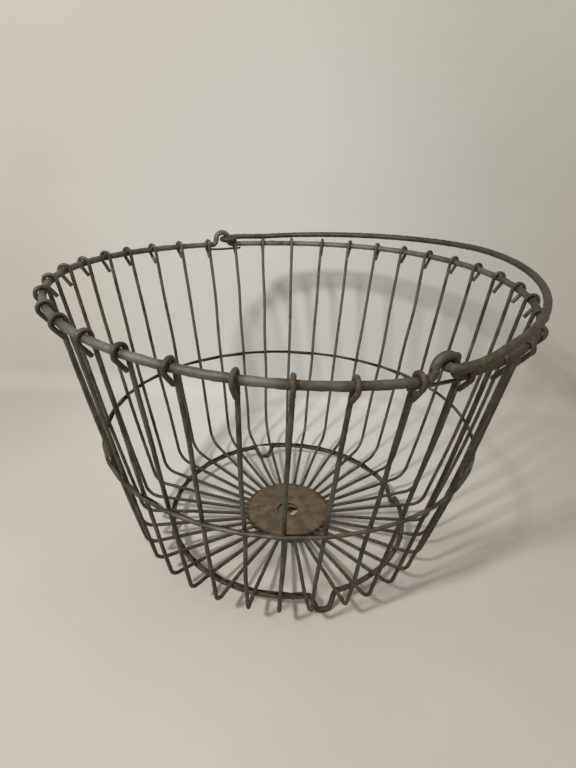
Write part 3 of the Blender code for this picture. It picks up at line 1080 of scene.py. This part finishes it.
class BASKET_OT_keepers(bpy.types.Operator):
    """Makes the two keeper wires under the ears"""
    bl_idname = "basket.keepers"
    bl_label = "Ear Keepers"

    def execute(self, context):
        p = plan()
        drop = p.w.rim + p.b.seat + p.w.keeper
        across = p.w.rib + p.w.keeper + 2 * p.b.seat
        inwards = (p.hook_r - across + drop * sin(p.lean)) / cos(p.lean)
        y = p.b.rim_radius * cos(BAY / 2) - inwards
        for side, name in ((1, "ear_keeper_rear"), (-1, "ear_keeper_front")):
            z = p.b.rim_height - drop + rim_rise(side * pi / 2)
            path = line((-p.keeper_half, side * y, z), (p.keeper_half, side * y, z), steps=44)
            sag = 1 - (path[:, 0] / p.keeper_half) ** 2
            path[:, 1] -= side * KEEPER_BOW * sag
            path[:, 2] -= KEEPER_SAG * sag
            upright = np.array((0.0, 0.0, 1.0))
            rust = np.full(len(path), 0.3)
            mesh = wire_mesh(name + "_wire", path, upright, p.w.keeper, rust,
                             sides=12, seed=90 + side)
            put(mesh, "rib_wire_finish", "basket", "dull_zinc_wire", name)
        return {"FINISHED"}


class BASKET_OT_bail(bpy.types.Operator):
    """Makes the bail with a hook at each end"""
    bl_idname = "basket.bail"
    bl_label = "Bail"

    def execute(self, context):
        p = plan()
        flat = bail_path(p)
        bow = smooth((flat[:, 0] - p.bail_tail) / BAIL_LIFT_RUN)
        aside = flat[:, 1] / p.b.rim_radius
        lift = (BAIL_LIFT - BAIL_TWIST * aside) * bow
        tilt = Matrix.Rotation(-p.bail_tilt, 3, "Y")
        local = np.concatenate([flat, lift[:, None]], axis=1)
        centre = local @ np.array(tilt).T + (0, 0, p.hinge_z)
        across = np.array(tilt @ Vector((0, 0, 1)))
        turn = np.arctan2(flat[:, 1], flat[:, 0])
        # Besides rust, the bail's share paints shade on the side away from the key light
        rust = (0.15 + 0.2 * smooth((BAIL_RUST[0] - flat[:, 0]) / BAIL_RUST[1])
                + 0.45 * near(turn, [SHADE_AND_RUST_ANGLE], SHADE_AND_RUST_WIDTH))
        mesh = wire_mesh("bail_wire", centre, across, p.w.bail, rust, sides=20, seed=9)
        put(mesh, "bail_finish", "bail", "dark_bail_wire", "bail")
        return {"FINISHED"}


class BASKET_OT_welds(bpy.types.Operator):
    """Makes the small welds where the ribs cross the middle hoop and the foot ring"""
    bl_idname = "basket.welds"
    bl_label = "Welds"

    def execute(self, context):
        p = plan()
        turn = rib_angles()
        outward = round_the_axis(turn, 1.0, 0.0)
        sideways = np.stack([-np.sin(turn), np.cos(turn), 0 * turn], axis=1)
        upright = np.repeat([[0.0, 0.0, 1.0]], RIB_COUNT, axis=0)
        every = np.arange(RIB_COUNT)
        shift = rib_shift(p, every, p.side_at_middle, p.b.middle_height)[:, None]
        r = p.side_at_middle + widening(turn) + p.w.rib / cos(p.lean) + p.b.seat / 2
        middle = outward * r[:, None] + sideways * shift + upright * p.b.middle_height
        shift = rib_shift(p, every, p.b.ring_radius, p.over_ring_z)[:, None]
        r = p.b.ring_radius + outward[:, :2] @ np.array(RING_SHIFT)
        ring = outward * r[:, None] + sideways * shift
        ring = ring + upright * (p.ring_z + p.w.ring + p.b.seat / 2)
        out, along = MIDDLE_WELD
        upper = weld_mesh("middle_hoop_welds", middle, outward * out, upright * along, seed=11)
        put(upper, "foot_ring_finish", "basket", "rusted_wire")
        out, along = RING_WELD
        lower = weld_mesh("foot_ring_welds", ring, upright * out, outward * along, seed=12)
        put(lower, "foot_ring_finish", "basket", "rusted_wire")
        return {"FINISHED"}


class BASKET_OT_studio(bpy.types.Operator):
    """Makes the floor, the backdrop, the lights and the camera"""
    bl_idname = "basket.studio"
    bl_label = "Studio"

    def execute(self, context):
        s = context.scene.basket_studio
        away = np.array([sin(CLOTH_FACING), cos(CLOTH_FACING), 0.0])
        along = np.array([cos(CLOTH_FACING), -sin(CLOTH_FACING), 0.0])
        wall = s.wall_distance
        cove = arc((wall - COVE, COVE), COVE, -pi / 2, 0, steps=10)
        profile = joined([(-FLOOR_REACH, 0.0)], cove, [(wall, BACKDROP_TOP)])
        sweep = cloth_mesh("backdrop_sweep", profile, away, along, CLOTH_HALF_WIDTH)
        show_stage(sweep, cloth("backdrop_finish", s.floor, s.backdrop))
        key_light(s)
        soft_light(s)
        world_light(s)
        photograph_camera(s)
        context.scene.view_settings.view_transform = "Standard"
        return {"FINISHED"}


def cloth_mesh(name, profile, away, along, half):
    """A profile of (distance away, height) carried straight from side to side: distance ×
    away + height × up ± half × along."""
    ends = np.array([-half, half])
    points = (profile[:, None, :1] * away + profile[:, None, 1:] * (0, 0, 1)
              + ends[None, :, None] * along)
    index = np.arange(2 * len(profile)).reshape(-1, 2)
    corners = [index[:-1, 0], index[:-1, 1], index[1:, 1], index[1:, 0]]
    return mesh_of(name, points.reshape(-1, 3), [np.stack(corners, axis=1)])


def show_stage(mesh, material):
    """Adds a mesh that is no part of the basket, for it to stand on and in front of."""
    mesh.materials.append(material)
    thing = add_object(mesh)


def cloth(name, floor, wall):
    """Pale matt cloth with faint mottling, in one colour on the level and another upright, with a
    pool of light painted behind the basket, paler and less yellow. Far off it fades into the
    surroundings, and its back is clear."""
    material, tree, shader, place = new_finish(name)
    shader.inputs["Roughness"].default_value = 0.9
    shader.inputs["Specular IOR Level"].default_value = 0.1
    split = tree.nodes.new("ShaderNodeSeparateXYZ")
    tree.links.new(place, split.inputs[0])
    upright = ramp(tree, split.outputs["Z"], 0.0, 0.03)
    mottle = ramp(tree, noise(tree, place, 5.0, 3.0), 0.3, 0.7)
    plain = blend(tree, upright, floor, wall)
    deeper = blend(tree, upright, [CLOTH_DEEPER * channel for channel in floor],
                   [CLOTH_DEEPER * channel for channel in wall])
    colour = blend(tree, mottle, deeper, plain)
    # A pool of light painted on the cloth behind the basket
    drawn = vectors(tree, "MULTIPLY", place, (1.0, 1.0, PAINTED_LIGHT_UPRIGHT))
    away = vectors(tree, "DISTANCE", drawn.outputs["Vector"], PAINTED_LIGHT_PLACE)
    pale = ramp(tree, away.outputs["Value"], PAINTED_LIGHT_INNER, PAINTED_LIGHT_OUTER, 1.0, 0.0)
    colour = blend(tree, pale, colour, PAINTED_LIGHT_CLOTH)
    tree.links.new(colour, shader.inputs["Base Color"])

    far = vectors(tree, "LENGTH", place)
    gone = ramp(tree, far.outputs["Value"], CLOTH_INNER, CLOTH_OUTER)
    back = tree.nodes.new("ShaderNodeNewGeometry").outputs["Backfacing"]
    gone = sums(tree, "MAXIMUM", gone, back)
    clear = tree.nodes.new("ShaderNodeBsdfTransparent")
    mix_to_surface(tree, gone, shader, clear, "Material Output")
    return material


def key_light(s):
    """A round lamp to the left of the camera and above it, which throws the clear shadows."""
    lamp("key_light", "DISK", s.key_size, s.key_power, KEY_PLACE)


def soft_light(s):
    """A large soft light high above the camera and a little to its right."""
    lamp("soft_light", "SQUARE", s.soft_size, s.soft_power, SOFT_PLACE)


def lamp(name, shape, size, power, place):
    """A white lamp of the given shape, aimed at the middle of the basket."""
    data = bpy.data.lights.new(name, "AREA")
    data.shape = shape
    data.size = size
    data.energy = power
    made = add_object(data)
    made.location = place
    aim = Vector(LAMP_AIM) - made.location
    made.rotation_euler = aim.to_track_quat("-Z", "Y").to_euler()


def world_light(s):
    """Even light from all round. The camera, metal and glass see the backdrop's colour there."""
    world = bpy.data.worlds.new("studio_world")
    bpy.context.scene.world = world
    world.use_nodes = True
    tree = world.node_tree
    lit = tree.nodes["Background"]
    lit.inputs["Color"].default_value = (1.0, 1.0, 1.0, 1.0)
    lit.inputs["Strength"].default_value = s.fill
    seen = tree.nodes.new("ShaderNodeBackground")
    seen.inputs["Color"].default_value = (*s.backdrop, 1.0)
    seen.inputs["Strength"].default_value = 1.0
    path = tree.nodes.new("ShaderNodeLightPath")
    shows = sums(tree, "MAXIMUM", path.outputs["Is Camera Ray"], path.outputs["Is Glossy Ray"])
    shows = sums(tree, "MAXIMUM", shows, path.outputs["Is Transmission Ray"])
    mix_to_surface(tree, shows, lit, seen, "World Output")


def photograph_camera(s):
    """The camera at the photograph's viewing place, looking down into the basket."""
    data = bpy.data.cameras.new("photograph_camera")
    data.lens = s.lens
    data.sensor_width = 36.0
    data.clip_start = 0.01
    camera = add_object(data)
    heading = Matrix.Rotation(-CAMERA_HEADING, 4, "Z")
    pitch = Matrix.Rotation(pi / 2 - CAMERA_DOWN, 4, "X")
    roll = Matrix.Rotation(CAMERA_ROLL, 4, "Z")
    place = Matrix.Translation(CAMERA_PLACE)
    camera.matrix_world = place @ heading @ pitch @ roll
    bpy.context.scene.camera = camera


class BASKET_PT_sidebar(bpy.types.Panel):
    """The basket's sizes, colours and pieces in the 3D view's sidebar"""
    bl_idname = "BASKET_PT_sidebar"
    bl_label = "Wire Egg Basket"
    bl_space_type = "VIEW_3D"
    bl_region_type = "UI"
    bl_category = "Basket"

    def draw(self, context):
        scene = context.scene
        for group in (scene.basket_sizes, scene.basket_wires, scene.basket_colours,
                      scene.basket_studio):
            box = self.layout.box()
            for key in group.bl_rna.properties.keys():
                if key not in ("rna_type", "name"):
                    box.prop(group, key)
        for operator in OPERATORS:
            self.layout.operator(operator.bl_idname)


GROUPS = {"basket_sizes": BasketSizes, "basket_wires": WireSizes,
          "basket_colours": BasketColours, "basket_studio": StudioSettings}
OPERATORS = (BASKET_OT_rim_hoop, BASKET_OT_ribs, BASKET_OT_middle_hoop, BASKET_OT_foot_ring,
             BASKET_OT_hub, BASKET_OT_keepers, BASKET_OT_bail, BASKET_OT_welds,
             BASKET_OT_studio)


def register():
    """Makes the properties, the operators and the panel known to Blender."""
    for name, group in GROUPS.items():
        bpy.utils.register_class(group)
        setattr(bpy.types.Scene, name, PointerProperty(type=group))
    for operator in OPERATORS:
        bpy.utils.register_class(operator)
    bpy.utils.register_class(BASKET_PT_sidebar)


def unregister():
    """Takes them away again."""
    bpy.utils.unregister_class(BASKET_PT_sidebar)
    for operator in reversed(OPERATORS):
        bpy.utils.unregister_class(operator)
    for name, group in GROUPS.items():
        delattr(bpy.types.Scene, name)
        bpy.utils.unregister_class(group)


def main():
    """Registers the classes and makes every piece in turn."""
    register()
    bpy.ops.basket.rim_hoop()
    bpy.ops.basket.ribs()
    bpy.ops.basket.middle_hoop()
    bpy.ops.basket.foot_ring()
    bpy.ops.basket.hub()
    bpy.ops.basket.keepers()
    bpy.ops.basket.bail()
    bpy.ops.basket.welds()
    bpy.ops.basket.studio()


if __name__ == "__main__":
    main()
